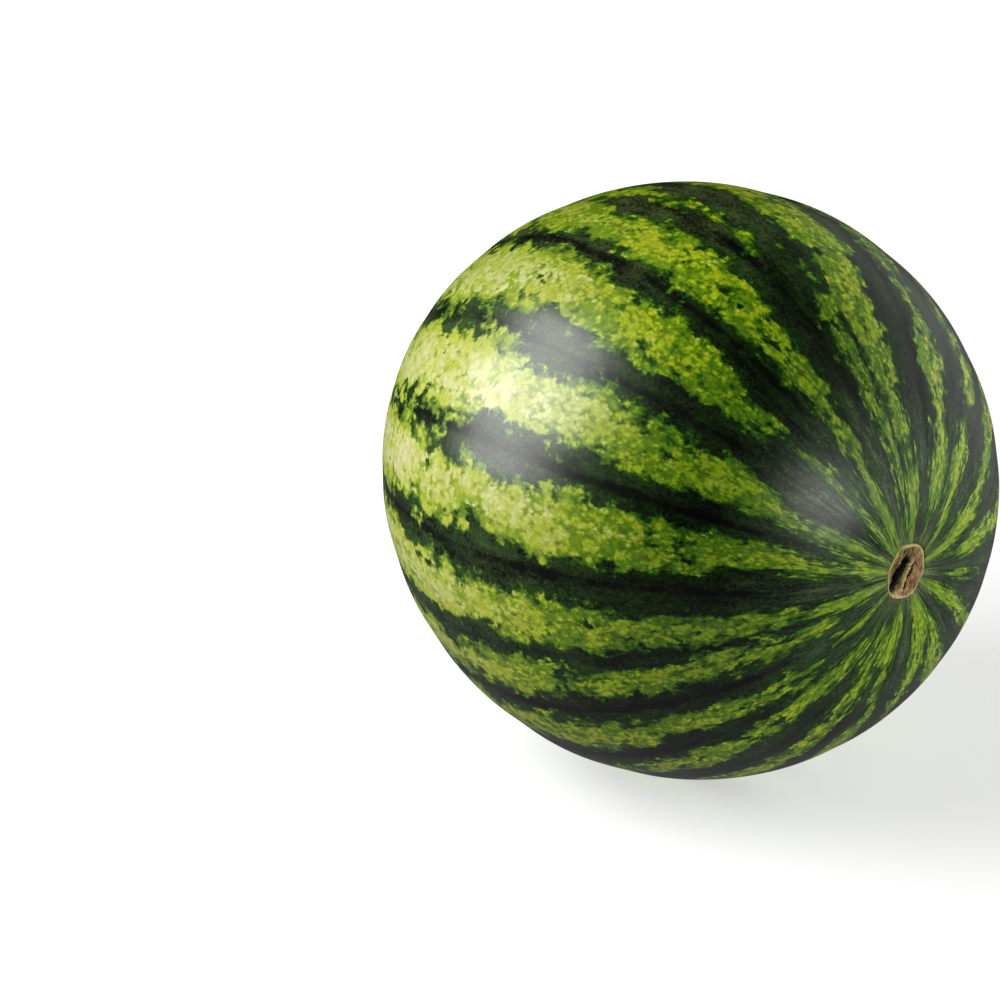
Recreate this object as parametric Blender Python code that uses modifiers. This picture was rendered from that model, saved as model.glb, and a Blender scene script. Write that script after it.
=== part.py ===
# A whole striped watermelon lying on its side, with the dry end of its stalk in the scar at the stem end.
# Metres, +Z up. The fruit's axis runs along X with the stem end at +X, and the origin is on the ground
# under the middle of the fruit.

import math

import bmesh
import bpy
from mathutils import Vector

# Fruit
FRUIT_LENGTH = 0.273
FRUIT_DIAMETER = 0.245
STEM_END_FULLNESS = 0.030  # how much blunter the stem end is than the blossom end
END_SLIMNESS = 0.050  # how much both ends are slimmer than those of an ellipsoid
FRUIT_SEGMENTS = 96
FRUIT_RINGS = 44
RINGS_TOWARDS_ENDS = 0.28  # 0 spaces the rings evenly, more draws them towards the two ends

# Shallow hollows along the dark bands, in degrees round the axis from +Y towards +Z
BAND_LONGITUDES = (11, 31, 50, 68, 98, 117, 137, 158, 179, 196, 211, 228, 244, 276, 308, 340)
BAND_HOLLOW_DEPTH = 0.0006
BAND_HOLLOW_HALF_WIDTH = 4.5  # degrees

# Slow unevenness of a grown fruit: waves round the axis, height and the longitude of a crest in degrees
GROWTH_WAVES = ((2, 0.00015, 31), (3, 0.00065, 32))

# Two ends
STEM_BASIN_DEPTH = 0.0030
STEM_BASIN_RADIUS = 0.017
BLOSSOM_DIMPLE_DEPTH = 0.0022
BLOSSOM_DIMPLE_RADIUS = 0.011
BLOSSOM_SCAR_HEIGHT = 0.0008  # the small button in the middle of the dimple
BLOSSOM_SCAR_RADIUS = 0.0035

# Ground
FLAT_SPOT_DEPTH = 0.0014  # how much of the underside is pressed flat
CENTRE_HEIGHT = FRUIT_DIAMETER / 2 - FLAT_SPOT_DEPTH

# Stalk end
STUB_RADIUS = 0.0106
STUB_OVAL = 0.10  # share of the radius by which the long way is longer
STUB_OVAL_LONGITUDE = 68
STUB_CORNERS = 0.03
STUB_CORNER_COUNT = 6
STUB_CORNER_LONGITUDE = 47
STUB_PROUD = 0.0012  # the rim above the floor of the basin
STUB_DEPTH = 0.0032
STUB_FOOT = 0.94  # share of the radius left at its foot
STUB_SEGMENTS = 48
PIT_GAP = 0.0003  # clearance between the stalk end and the pit that it sits in

# Upper face and side of the stalk end, from the middle outwards and down: share of the radius, height
# above the rim's foot as a share of STUB_PROUD
STUB_FACE = (
    (0.00, 0.10),
    (0.18, 0.14),
    (0.36, 0.22),
    (0.54, 0.20),
    (0.70, 0.34),
    (0.82, 0.70),
    (0.90, 1.00),
    (0.96, 0.86),
    (1.00, 0.45),
)

# Split in the stalk end
SPLIT_LENGTH = 0.0135
SPLIT_WIDTH = 0.0030
SPLIT_HALF_HEIGHT = 0.0025
SPLIT_RISE = 0.0005  # its middle above the floor of the basin
SPLIT_LONGITUDE = 54  # the way it runs, in degrees
SPLIT_OFF_CENTRE = 0.0027  # how far its middle lies from the stalk's

# Cutters reach this far past the surface they start from
CUTTER_REACH = 0.006

# Lays a shape that is modelled upright along X: its X becomes Y, its Y becomes Z and its Z becomes X
LYING_DOWN = (math.radians(90), 0.0, math.radians(90))


def clear_scene():
    for obj in list(bpy.data.objects):
        bpy.data.objects.remove(obj, do_unlink=True)


def make_collection(name):
    collection = bpy.data.collections.new(name)
    bpy.context.scene.collection.children.link(collection)
    return collection


def make_material(name, colour, roughness, metallic=0.0):
    material = bpy.data.materials.new(name)
    material.use_nodes = True
    shader = material.node_tree.nodes["Principled BSDF"]
    shader.inputs["Base Color"].default_value = (*colour, 1.0)
    shader.inputs["Roughness"].default_value = roughness
    shader.inputs["Metallic"].default_value = metallic
    material.diffuse_color = (*colour, 1.0)
    return material


def make_object(name, mesh, collection, parent=None):
    obj = bpy.data.objects.new(name, mesh)
    collection.objects.link(obj)
    obj.parent = parent
    return obj


def make_cutter(name, bm, collection, parent):
    mesh = bpy.data.meshes.new(name)
    bm.to_mesh(mesh)
    bm.free()
    cutter = make_object(name, mesh, collection, parent)
    cutter.hide_render = True
    cutter.display_type = "WIRE"
    return cutter


def cut(obj, cutter):
    boolean = obj.modifiers.new(cutter.name, "BOOLEAN")
    boolean.operation = "DIFFERENCE"
    boolean.solver = "EXACT"
    boolean.object = cutter


def shade_round(mesh, sharp_angle):
    mesh.shade_smooth()
    mesh.set_sharp_from_angle(angle=math.radians(sharp_angle))


def bump(distance, width):
    return math.exp(-((distance / width) ** 2))


def degrees_apart(a, b):
    return abs((a - b + 180) % 360 - 180)


def surface_point(polar, longitude):
    """Point of the upright fruit at an angle from the stem end and a longitude, both in radians."""
    along = math.cos(polar)
    shape = 1 + STEM_END_FULLNESS * along - END_SLIMNESS * along**2
    radius = FRUIT_DIAMETER / 2 * math.sin(polar) * shape
    height = FRUIT_LENGTH / 2 * along
    turned = math.degrees(longitude)
    hollow = sum(
        bump(degrees_apart(turned, band), BAND_HOLLOW_HALF_WIDTH) for band in BAND_LONGITUDES
    )
    wave = sum(
        rise * math.cos(waves * (longitude - math.radians(crest)))
        for waves, rise, crest in GROWTH_WAVES
    )
    lengthwise = math.sin(polar) ** 2
    finished = radius + lengthwise * (wave - BAND_HOLLOW_DEPTH * hollow)
    if along > 0:
        height -= STEM_BASIN_DEPTH * bump(radius, STEM_BASIN_RADIUS)
    else:
        height += BLOSSOM_DIMPLE_DEPTH * bump(radius, BLOSSOM_DIMPLE_RADIUS)
        height -= BLOSSOM_SCAR_HEIGHT * bump(radius, BLOSSOM_SCAR_RADIUS)
    return Vector((finished * math.cos(longitude), finished * math.sin(longitude), height))


def shaped_fruit():
    """A ball whose rings are drawn towards the ends and whose points are moved onto the fruit's surface."""
    bm = bmesh.new()
    bmesh.ops.create_uvsphere(bm, u_segments=FRUIT_SEGMENTS, v_segments=FRUIT_RINGS, radius=1.0)
    for vert in bm.verts:
        polar = math.acos(max(-1.0, min(1.0, vert.co.z)))
        polar -= RINGS_TOWARDS_ENDS * math.sin(2 * polar)
        vert.co = surface_point(polar, math.atan2(vert.co.y, vert.co.x))
    return bm


def stub_radius(longitude, extra=0.0):
    oval = STUB_OVAL * math.cos(2 * (longitude - math.radians(STUB_OVAL_LONGITUDE)))
    turned = longitude - math.radians(STUB_CORNER_LONGITUDE)
    corners = STUB_CORNERS * math.cos(STUB_CORNER_COUNT * turned)
    return STUB_RADIUS * (1 + oval + corners) + extra


def basin_floor():
    return FRUIT_LENGTH / 2 - STEM_BASIN_DEPTH


def add_ground_cutter(collection, parent):
    """A slab whose upper face is the ground, in the upright fruit's frame, where down is -Y."""
    bm = bmesh.new()
    bmesh.ops.create_cube(bm, size=1.0)
    bmesh.ops.scale(bm, vec=(FRUIT_DIAMETER, CUTTER_REACH, FRUIT_DIAMETER), verts=bm.verts)
    bmesh.ops.translate(bm, vec=(0, -CENTRE_HEIGHT - CUTTER_REACH / 2, 0), verts=bm.verts)
    return make_cutter("ground_cutter", bm, collection, parent)


def add_pit_cutter(collection, parent):
    """The stalk end's outline, a gap wider, from above the basin down to the pit's floor."""
    bm = bmesh.new()
    tall = CUTTER_REACH + STUB_DEPTH + PIT_GAP
    bmesh.ops.create_cone(
        bm, cap_ends=True, segments=STUB_SEGMENTS, radius1=1.0, radius2=1.0, depth=tall
    )
    for vert in bm.verts:
        radius = stub_radius(math.atan2(vert.co.y, vert.co.x), PIT_GAP)
        vert.co.x *= radius
        vert.co.y *= radius
    bmesh.ops.translate(bm, vec=(0, 0, basin_floor() + CUTTER_REACH - tall / 2), verts=bm.verts)
    return make_cutter("pit_cutter", bm, collection, parent)


def add_split_cutter(collection, parent):
    """A long thin boat shape, sunk into the face of the stalk end."""
    bm = bmesh.new()
    bmesh.ops.create_uvsphere(bm, u_segments=16, v_segments=8, radius=1.0)
    half_sizes = (SPLIT_LENGTH / 2, SPLIT_WIDTH / 2, SPLIT_HALF_HEIGHT)
    bmesh.ops.scale(bm, vec=half_sizes, verts=bm.verts)
    cutter = make_cutter("split_cutter", bm, collection, parent)
    along = math.radians(SPLIT_LONGITUDE)
    cutter.location = (
        -SPLIT_OFF_CENTRE * math.sin(along),
        SPLIT_OFF_CENTRE * math.cos(along),
        basin_floor() + SPLIT_RISE,
    )
    cutter.rotation_euler = (0.0, 0.0, along)
    return cutter


def add_fruit(collection, material, parent):
    bm = shaped_fruit()
    mesh = bpy.data.meshes.new("melon")
    bm.to_mesh(mesh)
    bm.free()
    shade_round(mesh, 40)
    mesh.materials.append(material)
    return make_object("melon", mesh, collection, parent)


def add_stub(collection, material, parent):
    """A turned corky disc with a raised rim, worked to its uneven outline."""
    profile = bpy.data.meshes.new("stub_profile")
    points = [(share, 0.0, rise * STUB_PROUD) for share, rise in STUB_FACE]
    points += [(1.0, 0.0, -STUB_DEPTH / 2), (STUB_FOOT, 0.0, -STUB_DEPTH), (0.0, 0.0, -STUB_DEPTH)]
    edges = [(i, i + 1) for i in range(len(points) - 1)]
    profile.from_pydata(points, edges, [])
    turned = make_object("stub_profile", profile, collection)
    screw = turned.modifiers.new("turn", "SCREW")
    screw.axis = "Z"
    screw.steps = STUB_SEGMENTS
    screw.render_steps = STUB_SEGMENTS
    screw.use_merge_vertices = True
    screw.merge_threshold = 0.00001
    bpy.context.view_layer.update()
    graph = bpy.context.evaluated_depsgraph_get()
    mesh = bpy.data.meshes.new_from_object(turned.evaluated_get(graph))
    bpy.data.objects.remove(turned, do_unlink=True)
    mesh.name = "stem_stub"
    for vert in mesh.vertices:
        radius = stub_radius(math.atan2(vert.co.y, vert.co.x))
        vert.co.x *= radius
        vert.co.y *= radius
    shade_round(mesh, 50)
    mesh.materials.clear()
    mesh.materials.append(material)
    stub = make_object("stem_stub", mesh, collection, parent)
    stub.location = (0.0, 0.0, basin_floor())
    return stub


def lay_down(fruit, axis):
    """Turns the fruit on its side, with its middle over the origin and its centre above the ground."""
    heights = [vert.co.z for vert in fruit.data.vertices]
    axis.rotation_euler = LYING_DOWN
    axis.location = (-(min(heights) + max(heights)) / 2, 0.0, CENTRE_HEIGHT)


def main():
    clear_scene()
    pieces = make_collection("watermelon")
    cutters = make_collection("cutters")
    rind = make_material("rind", (0.11, 0.20, 0.03), 0.35)
    cork = make_material("cork", (0.28, 0.19, 0.09), 0.85)

    axis = make_object("fruit_axis", None, pieces)
    fruit = add_fruit(pieces, rind, axis)
    stub = add_stub(pieces, cork, axis)
    cut(fruit, add_ground_cutter(cutters, axis))
    cut(fruit, add_pit_cutter(cutters, axis))
    cut(stub, add_split_cutter(cutters, axis))
    lay_down(fruit, axis)


main()
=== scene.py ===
import math

import bpy
import numpy as np
from mathutils import Matrix, Vector, noise


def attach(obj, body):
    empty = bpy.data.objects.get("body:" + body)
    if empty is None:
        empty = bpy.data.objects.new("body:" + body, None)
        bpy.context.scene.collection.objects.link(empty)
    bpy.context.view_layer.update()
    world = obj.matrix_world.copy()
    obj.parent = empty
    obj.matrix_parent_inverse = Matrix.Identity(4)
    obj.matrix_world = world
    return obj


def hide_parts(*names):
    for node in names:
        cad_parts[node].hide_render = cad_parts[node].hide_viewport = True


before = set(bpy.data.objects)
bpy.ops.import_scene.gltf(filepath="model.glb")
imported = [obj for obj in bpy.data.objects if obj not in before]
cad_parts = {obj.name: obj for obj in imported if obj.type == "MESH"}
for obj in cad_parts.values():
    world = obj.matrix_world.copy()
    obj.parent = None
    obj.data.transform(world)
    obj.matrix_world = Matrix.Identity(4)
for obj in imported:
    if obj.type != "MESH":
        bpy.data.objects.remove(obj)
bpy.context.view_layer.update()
print("frame loaded")


# Helpers for node trees, the same for shapes and for materials

def feed(tree, socket, value):
    if isinstance(value, bpy.types.NodeSocket):
        tree.links.new(value, socket)
    else:
        socket.default_value = value


def calc(tree, operation, *values):
    node = tree.nodes.new("ShaderNodeMath")
    node.operation = operation
    for socket, value in zip(node.inputs, values):
        feed(tree, socket, value)
    return node.outputs[0]


def total(tree, first, *others):
    for other in others:
        first = calc(tree, "ADD", first, other)
    return first


def product(tree, first, *others):
    for other in others:
        first = calc(tree, "MULTIPLY", first, other)
    return first


def hump(tree, distance, width):  # 1 at no distance, falling off smoothly past the width
    share = calc(tree, "DIVIDE", distance, width)
    return calc(tree, "EXPONENT", product(tree, share, share, -1.0))


def ease(tree, value, low, high):  # 0 below low, 1 above high, smooth between
    node = tree.nodes.new("ShaderNodeMapRange")
    node.interpolation_type = "SMOOTHSTEP"
    feed(tree, node.inputs["Value"], value)
    feed(tree, node.inputs["From Min"], low)
    feed(tree, node.inputs["From Max"], high)
    return node.outputs["Result"]


def split(tree, vector):
    node = tree.nodes.new("ShaderNodeSeparateXYZ")
    tree.links.new(vector, node.inputs[0])
    return node.outputs


def join(tree, x, y, z):
    node = tree.nodes.new("ShaderNodeCombineXYZ")
    for socket, value in zip(node.inputs, (x, y, z)):
        feed(tree, socket, value)
    return node.outputs[0]


def vectorCalc(tree, operation, first, second=None):
    node = tree.nodes.new("ShaderNodeVectorMath")
    node.operation = operation
    feed(tree, node.inputs[0], first)
    if operation == "SCALE":
        feed(tree, node.inputs["Scale"], second)
    elif second is not None:
        feed(tree, node.inputs[1], second)
    return node.outputs["Value" if operation == "DOT_PRODUCT" else "Vector"]


def grain(tree, vector, scale, detail, roughness, output="Fac"):
    node = tree.nodes.new("ShaderNodeTexNoise")
    tree.links.new(vector, node.inputs["Vector"])
    node.inputs["Scale"].default_value = scale
    node.inputs["Detail"].default_value = detail
    node.inputs["Roughness"].default_value = roughness
    return node.outputs[output]


def pebbles(tree, vector, scale):  # small rounded cells: a hump in each, and one chance value for each
    node = tree.nodes.new("ShaderNodeTexVoronoi")
    tree.links.new(vector, node.inputs["Vector"])
    node.inputs["Scale"].default_value = scale
    chance = split(tree, node.outputs["Color"])[0]
    return calc(tree, "SUBTRACT", 0.5, node.outputs["Distance"]), centred(tree, chance)


def centred(tree, value):  # a noise level moved to lie around 0
    return calc(tree, "SUBTRACT", value, 0.5)


def level(tree, value, at, soft):  # a soft step at the given value
    return ease(tree, value, at - soft, at + soft)


# Fruit

fruit = {
    "length": 0.273,
    "diameter": 0.245,
    "stemFullness": 0.030,
    "endSlimness": 0.050,
    "shift": 0.00054,
    "centreHeight": 0.1211,
    "segments": 400,
    "rings": 224,
    "ringsTowardsEnds": 0.28,
    "bandLongitudes": (11, 31, 50, 68, 98, 117, 137, 158, 179, 196, 211, 228, 244, 276, 308, 340),
    "bandHollowDepth": 0.0006,
    "bandHollowHalfWidth": 4.5,  # degrees
    "growthWaves": ((2, 0.00015, 31), (3, 0.00065, 32)),  # waves round, height, longitude of a crest
    "basinDepth": 0.0030,
    "basinRadius": 0.017,
    "dimpleDepth": 0.0022,
    "dimpleRadius": 0.011,
    "blossomScarHeight": 0.0008,
    "blossomScarRadius": 0.0035,
    "lumpHeight": 0.00035,
    "lumpsAMetre": 22.0,
    "lumpMiddle": 0.62,  # the noise level that is neither a lump nor a hollow
    "lumpSeed": 3.7,
    "puckerDepth": 0.00035,
    "puckerCount": 17,
    "puckerWander": 14.0,
    "puckerRing": (0.020, 0.011),  # radius of its middle, and its half width
    "lipHeight": 0.0004,
    "lipRing": (0.0008, 0.0016),  # outside the stalk: its middle, and its half width
    "pitDepth": 0.0036,
    "pitWall": (0.0003, 0.0014),  # inside the stalk's outline: where the wall begins and ends
}

stub = {
    "radius": 0.0106,
    "oval": 0.10,
    "ovalLongitude": 68,
    "corners": 0.03,
    "cornerCount": 6,
    "cornerLongitude": 47,
    "depth": 0.0030,
    "spokes": 220,
    "rings": 72,
}


def makeTree(name, inputs):
    tree = bpy.data.node_groups.new(name, "GeometryNodeTree")
    for label, kind in inputs:
        tree.interface.new_socket(name=label, in_out="INPUT", socket_type="NodeSocket" + kind)
    tree.interface.new_socket(name="Mesh", in_out="OUTPUT", socket_type="NodeSocketGeometry")
    return tree, tree.nodes.new("NodeGroupInput").outputs


def finishTree(tree, mesh, material):  # the last nodes of every tree
    realize = tree.nodes.new("GeometryNodeRealizeInstances")
    dress = tree.nodes.new("GeometryNodeSetMaterial")
    end = tree.nodes.new("NodeGroupOutput")
    tree.links.new(mesh, realize.inputs[0])
    tree.links.new(realize.outputs[0], dress.inputs["Geometry"])
    tree.links.new(material, dress.inputs["Material"])
    tree.links.new(dress.outputs[0], end.inputs[0])


def meshFromTree(name, tree, settings):
    piece = bpy.data.objects.new(name, bpy.data.meshes.new(name))
    bpy.context.scene.collection.objects.link(piece)
    modifier = piece.modifiers.new("shape", "NODES")
    modifier.node_group = tree
    for socket in tree.interface.items_tree:
        if socket.in_out == "INPUT":
            modifier[socket.identifier] = settings[socket.name]
    bpy.context.view_layer.update()
    graph = bpy.context.evaluated_depsgraph_get()
    mesh = bpy.data.meshes.new_from_object(piece.evaluated_get(graph))
    piece.modifiers.remove(modifier)
    piece.data = mesh
    mesh.name = name
    return piece


def stubOutline(tree, longitude, given):  # the stalk end's uneven outline, as in its solid
    oval = calc(tree, "COSINE", product(tree, 2.0, calc(tree, "SUBTRACT", longitude, given["Oval Turn"])))
    turned = calc(tree, "SUBTRACT", longitude, given["Corner Turn"])
    corners = calc(tree, "COSINE", product(tree, turned, stub["cornerCount"]))
    shape = total(tree, 1.0, product(tree, oval, stub["oval"]), product(tree, corners, stub["corners"]))
    return product(tree, given["Stub Radius"], shape)


def makeRindTree(settings):
    kinds = {int: "Int", float: "Float", bpy.types.Material: "Material"}
    tree, given = makeTree("rindShape", [(name, kinds[type(value)]) for name, value in settings.items()])
    ball = tree.nodes.new("GeometryNodeMeshUVSphere")
    tree.links.new(given["Segments"], ball.inputs["Segments"])
    tree.links.new(given["Rings"], ball.inputs["Rings"])
    ball.inputs["Radius"].default_value = 1.0
    position = tree.nodes.new("GeometryNodeInputPosition").outputs[0]
    x, y, z = split(tree, position)
    even = calc(tree, "ARCCOSINE", calc(tree, "MAXIMUM", calc(tree, "MINIMUM", z, 1.0), -1.0))
    drawn = product(tree, calc(tree, "SINE", product(tree, even, 2.0)), given["Rings Towards Ends"])
    polar = calc(tree, "SUBTRACT", even, drawn)
    longitude = calc(tree, "ARCTAN2", y, x)
    along = calc(tree, "COSINE", polar)
    across = calc(tree, "SINE", polar)

    # Profile of the fruit
    fuller = product(tree, given["Stem Fullness"], along)
    slimmer = product(tree, given["End Slimness"], along, along, -1.0)
    radius = product(tree, given["Diameter"], 0.5, across, total(tree, 1.0, fuller, slimmer))
    height = product(tree, given["Length"], 0.5, along)

    # Hollows along the dark bands and the slow waves round the fruit
    turned = calc(tree, "DEGREES", longitude)
    uneven = 0.0
    for band in fruit["bandLongitudes"]:
        apart = calc(tree, "WRAP", calc(tree, "SUBTRACT", turned, float(band)), 180.0, -180.0)
        hollow = hump(tree, apart, given["Band Hollow Half Width"])
        hollow = product(tree, hollow, given["Band Hollow Depth"], -1.0)
        uneven = calc(tree, "ADD", uneven, hollow)
    for waves, rise, crest in fruit["growthWaves"]:
        phase = product(tree, calc(tree, "SUBTRACT", longitude, math.radians(crest)), float(waves))
        uneven = calc(tree, "ADD", uneven, product(tree, calc(tree, "COSINE", phase), rise))
    lumps = tree.nodes.new("ShaderNodeTexNoise")
    lumps.noise_dimensions = "4D"
    tree.links.new(given["Lump Seed"], lumps.inputs["W"])
    lumps.inputs["Detail"].default_value = 1.0
    tree.links.new(product(tree, given["Lumps A Metre"], given["Diameter"], 0.5), lumps.inputs["Scale"])
    tree.links.new(position, lumps.inputs["Vector"])
    lump = calc(tree, "SUBTRACT", lumps.outputs["Fac"], given["Lump Middle"])
    lump = product(tree, lump, given["Lump Height"], 2.0)
    uneven = product(tree, calc(tree, "ADD", uneven, lump), across, across)
    finished = calc(tree, "ADD", radius, uneven)

    # Stem end: basin, puckers, the lip round the stalk and the pit under it
    stemSide = calc(tree, "GREATER_THAN", along, 0.0)
    basin = product(tree, hump(tree, radius, given["Basin Radius"]), given["Basin Depth"], -1.0)
    fold = calc(tree, "SINE", total(tree, product(tree, longitude, given["Pucker Count"]),
                                    product(tree, lumps.outputs["Fac"], given["Pucker Wander"])))
    puckerMiddle, puckerWidth = fruit["puckerRing"]
    nearStem = hump(tree, calc(tree, "SUBTRACT", radius, puckerMiddle), puckerWidth)
    pucker = product(tree, calc(tree, "SUBTRACT", fold, 1.0), nearStem, given["Pucker Depth"], 0.5)
    outline = stubOutline(tree, longitude, given)
    outside = calc(tree, "SUBTRACT", radius, outline)
    lipMiddle, lipWidth = fruit["lipRing"]
    lip = product(tree, hump(tree, calc(tree, "SUBTRACT", outside, lipMiddle), lipWidth),
                  given["Lip Height"])
    pit = product(tree, ease(tree, calc(tree, "MULTIPLY", outside, -1.0), *fruit["pitWall"]),
                  given["Pit Depth"], -1.0)
    stemEnd = product(tree, total(tree, basin, pucker, lip, pit), stemSide)

    # Blossom end: dimple with a small button in its middle
    dimple = product(tree, hump(tree, radius, given["Dimple Radius"]), given["Dimple Depth"])
    button = hump(tree, radius, given["Blossom Scar Radius"])
    button = product(tree, button, given["Blossom Scar Height"], -1.0)
    blossomEnd = product(tree, calc(tree, "ADD", dimple, button), calc(tree, "SUBTRACT", 1.0, stemSide))

    height = total(tree, height, stemEnd, blossomEnd, given["Shift"])
    upward = product(tree, finished, calc(tree, "SINE", longitude))
    above = calc(tree, "MAXIMUM", calc(tree, "ADD", upward, given["Centre Height"]), 0.0)  # flat spot
    place = join(tree, height, product(tree, finished, calc(tree, "COSINE", longitude)), above)

    move = tree.nodes.new("GeometryNodeSetPosition")
    tree.links.new(ball.outputs["Mesh"], move.inputs["Geometry"])
    tree.links.new(place, move.inputs["Position"])
    smooth = tree.nodes.new("GeometryNodeSetShadeSmooth")
    tree.links.new(move.outputs[0], smooth.inputs["Geometry"])
    finishTree(tree, smooth.outputs[0], given["Material"])
    return tree


# Light stripes, each a line from the stem end to the blossom end. A row is the angle from the stem
# end, the longitude from +Y towards +Z, and half the stripe's width, all in degrees. A width of 0 or
# less leaves a gap.
lightStripes = (
    ((12, 0, 0), (16, 0, 4.5), (40, 0, 5), (70, 1, 6), (100, -1, 7), (130, 0, 6), (160, 0, 4), (168, 0, 0)),
    ((4, 12, 5), (11, 14, 8), (17, 18, 6.5), (26, 22, 5), (40, 26, 4), (60, 25, 5), (90, 23, 6),
     (125, 24, 7), (150, 24, 5), (165, 23, 0)),
    ((6, 35, 0), (10, 36, 3), (14, 42, 5), (24, 44, 5.5), (31, 43, 4), (34, 42, 1), (40, 40, 4.5),
     (50, 42, 4.5), (56, 46, 3.5), (62, 46, 1), (75, 45, 4), (100, 44, 6), (130, 45, 6), (160, 44, 4),
     (168, 44, 0)),
    ((8, 57, 0), (13, 58, 4), (20, 58, 6), (27, 59, 4.5), (30, 59, 2), (34, 59.5, 4.5), (45, 59.5, 5),
     (50, 60, 2.5), (64, 60.5, 2), (75, 60, 3.5), (95, 60, 6), (130, 60, 7), (155, 60, 5), (166, 60, 0)),
    ((4, 80, 3.5), (8, 80.5, 4.5), (28, 81, 4), (34, 82, 5.5), (50, 82, 6), (57, 80, 5), (65, 77, 6.5),
     (92, 77, 7.5), (120, 77, 8), (150, 78, 6), (166, 78, 0)),
    ((6, 90, 0), (9, 90, 3), (30, 90.5, 3.5), (42, 91, 4), (52, 89, 3), (60, 87, 1.5), (66, 88, -1)),
    ((66, 94, -1), (72, 93.5, 1.5), (92, 93.5, 2.5), (110, 93, 5), (140, 93, 6), (160, 93, 3),
     (168, 93, 0)),
    ((4, 112, 4), (8, 112, 5), (16, 111, 3.5), (22, 110, 2.5), (28, 108.5, 3.5), (40, 108, 4.5),
     (55, 107.5, 5), (70, 107, 6.2), (84, 107.5, 5.5), (91, 108.5, 3), (97, 106.5, 5.5), (110, 105.5, 7),
     (130, 106, 7), (150, 106, 5), (166, 106, 0)),
    ((4, 119, 1.5), (9, 118, 2.2), (14, 117, 1.2), (20, 118, -0.5)),
    ((5, 126, 2.5), (12, 125.5, 3.5), (20, 125.5, 2), (28, 125.5, 2.5), (33, 126.5, 2),
     (40, 127.5, 3.5), (50, 126, 5.5), (63, 125.5, 6), (90, 125.5, 7), (105, 126, 9), (125, 126, 9),
     (150, 125, 6), (168, 125, 0)),
    ((4, 148, 1.5), (10, 148, 4), (28, 148, 3.5), (36, 146, 6), (60, 145.5, 6.8), (80, 147, 6.5),
     (95, 148, 8), (128, 148, 8.8), (150, 148, 6), (167, 148, 0)),
    ((10, 159, 0), (15, 159, 2.5), (20, 159, 0)),
    ((3, 167, 4), (6, 167, 6.5), (12, 166.5, 5.5), (20, 166, 4.5), (28, 165, 5.5), (40, 167, 6.2),
     (60, 168, 6.8), (95, 168, 6.5), (125, 168, 8), (150, 168, 6), (166, 168, 0)),
    ((4, 193, 3), (10, 193, 6), (17, 192, 4.5), (21, 190.5, 2.5), (26, 190, 4.5), (62, 190, 5),
     (90, 189, 6.5), (120, 189, 7.5), (150, 189, 5), (166, 189, 0)),
    ((14, 202, 0), (18, 202, 4), (40, 202.5, 4.5), (56, 203.5, 4.2), (85, 204, 5), (120, 206, 6.5),
     (150, 205, 5), (164, 205, 0)),
    ((5, 216, 1), (9, 216, 4), (15, 216, 3.5), (19, 216, 0)),
    ((23, 222, 0), (27, 222, 4), (36, 221.5, 4.3), (51, 221, 4), (54, 221, 2.5), (58, 221, 4.8),
     (85, 221, 5.5), (120, 223, 7), (150, 222, 5), (166, 222, 0)),
    ((11, 234, 0), (15, 234.5, 3.8), (40, 235.5, 4.5), (58, 237, 4.8), (75, 239, 3), (95, 240, 5),
     (125, 241, 7), (150, 240, 5), (165, 240, 0)),
    ((9, 247, 0), (12, 247.5, 3.5), (19, 249, 3.2), (24, 253, 3.5), (35, 254.5, 4.5), (60, 254.5, 5),
     (95, 256, 6), (130, 258, 7), (155, 258, 4), (167, 258, 0)),
    ((5, 261, 1), (9, 261.5, 5.5), (18, 262.5, 5), (23, 265, 2), (28, 268, 2), (34, 270, 2.5),
     (45, 270, 3.5), (75, 272, 6), (110, 274, 7), (145, 275, 6), (165, 275, 0)),
    ((4, 290, 2), (8, 291, 8), (14, 291, 7.5), (20, 288, 4.5), (26, 286, 3.8), (34, 283.5, 3.2),
     (42, 283, 1), (60, 286, 3), (100, 288, 6), (140, 290, 6), (165, 290, 0)),
    ((9, 300, 0), (13, 300.5, 4), (36, 300.5, 4.8), (70, 303, 6), (110, 305, 7), (145, 305, 5),
     (166, 305, 0)),
    ((4, 325, 2), (8, 325, 6.8), (15, 324, 5.5), (24, 322, 4), (40, 322, 4.8), (75, 322, 6.5),
     (115, 321, 7.5), (150, 321, 5), (167, 321, 0)),
    ((13, 342, 0), (17, 342, 1.5), (21, 342, 0), (40, 340, -2), (60, 340, 2), (90, 340, 5),
     (125, 340, 6), (155, 340, 4), (166, 340, 0)),
)

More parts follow.
